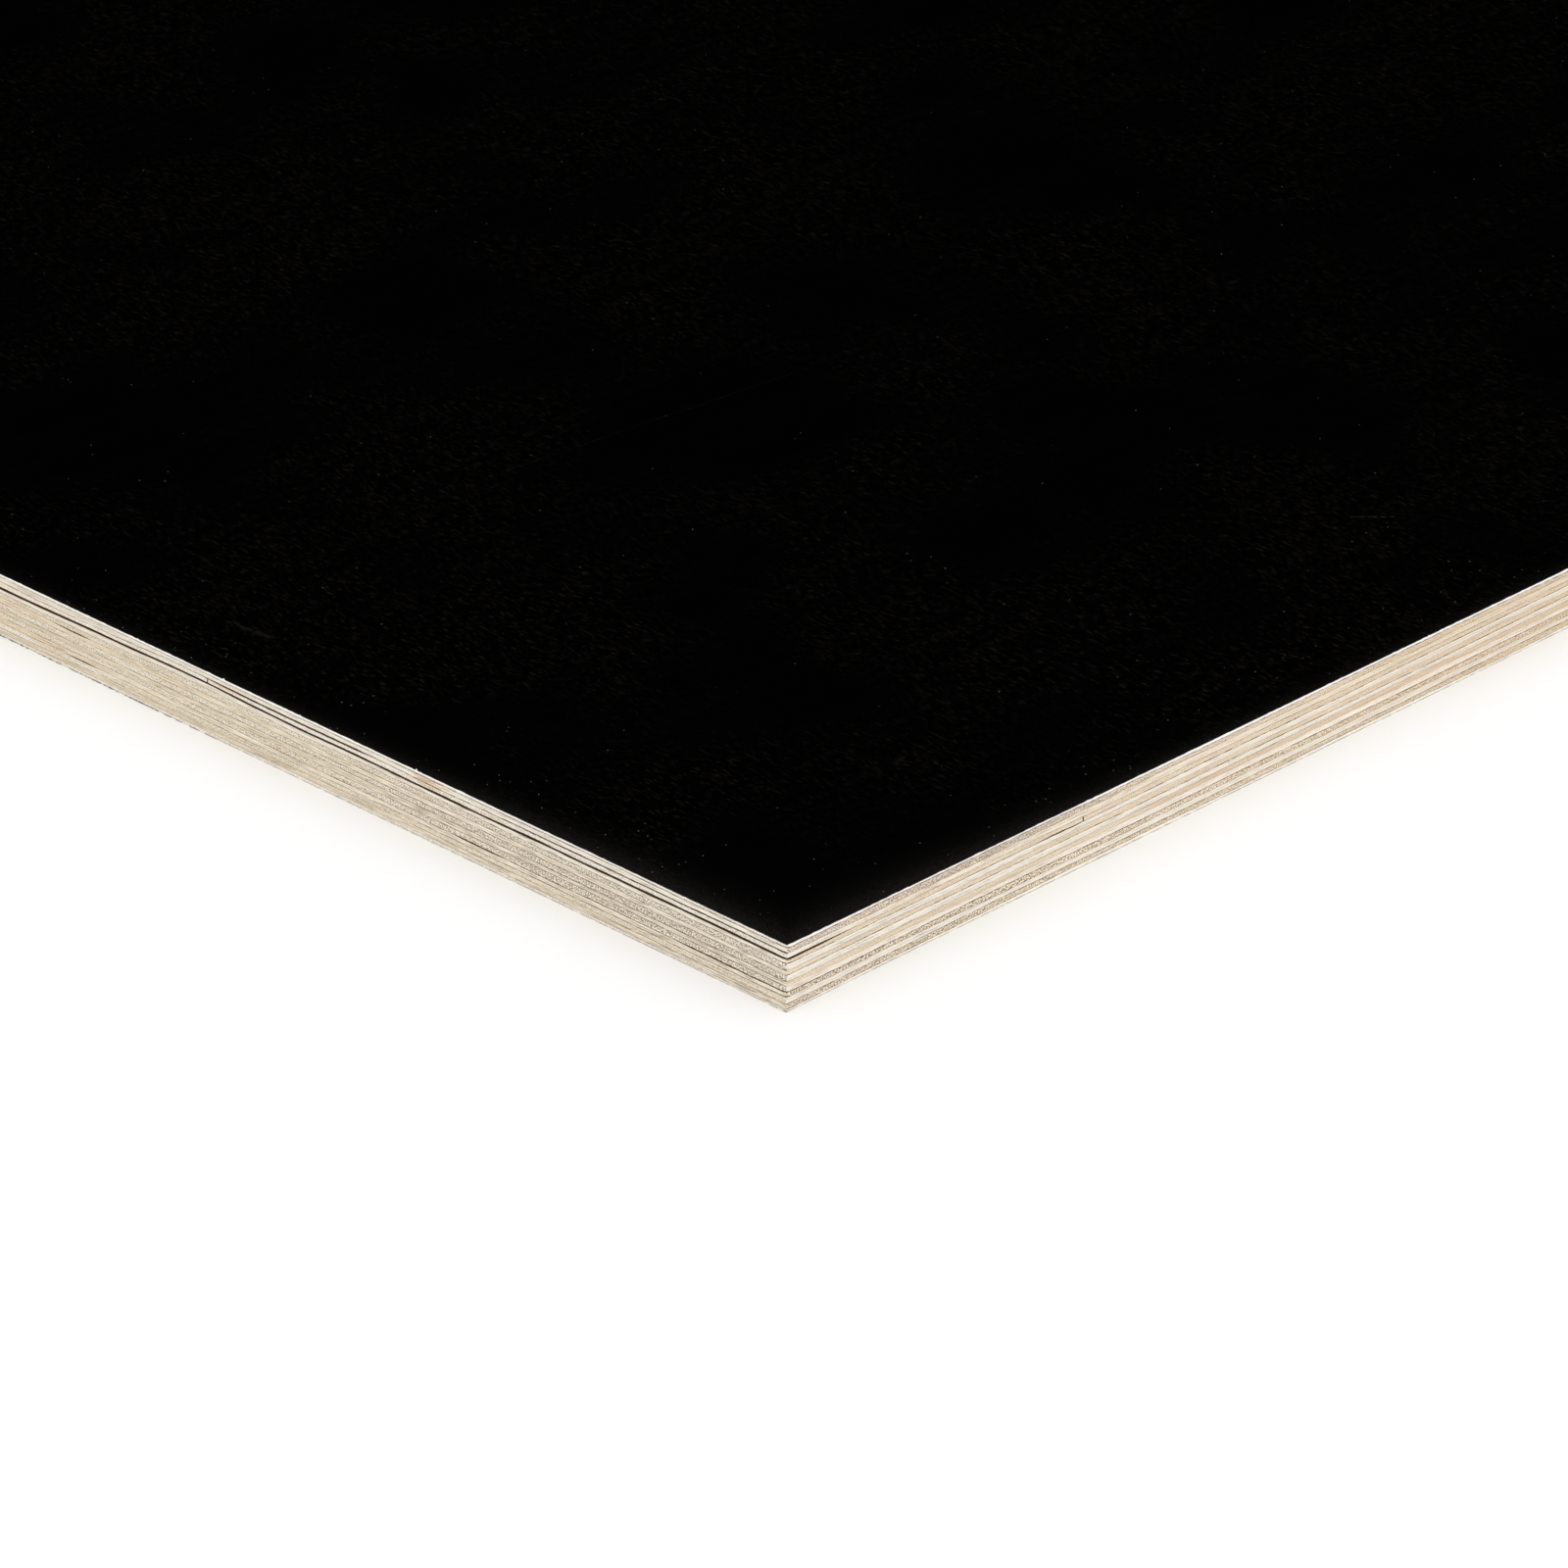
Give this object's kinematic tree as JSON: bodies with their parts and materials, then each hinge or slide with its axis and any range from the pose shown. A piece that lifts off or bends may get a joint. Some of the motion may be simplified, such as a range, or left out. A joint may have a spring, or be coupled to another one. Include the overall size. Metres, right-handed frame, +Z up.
{
  "type": "film-faced plywood sheet",
  "caption": "Flat rectangular plywood sheet of cross-laid veneers with square sawn edges and a black phenolic film on both faces, for formwork and flooring.",
  "frame": {"origin": "middle of the underside, on the floor that the sheet lies on", "axes": "+X along the length and the grain of the face veneer, +Y along the width, +Z up through the thickness to the top face"},
  "size_m": [2.44, 1.22, 0.018],
  "materials": {
    "film": "satin",
    "long_grain_veneer": "sawn",
    "cross_grain_veneer": "sawn"
  },
  "bodies": {
    "root": {"back_film": "film", "back_veneer": "long_grain_veneer", "crossband_1": "cross_grain_veneer", "core_veneer_1": "long_grain_veneer", "crossband_2": "cross_grain_veneer", "core_veneer_2": "long_grain_veneer", "crossband_3": "cross_grain_veneer", "core_veneer_3": "long_grain_veneer", "crossband_4": "cross_grain_veneer", "core_veneer_4": "long_grain_veneer", "crossband_5": "cross_grain_veneer", "core_veneer_5": "long_grain_veneer", "crossband_6": "cross_grain_veneer", "face_veneer": "long_grain_veneer", "face_film": "film"}
  },
  "joints": []
}
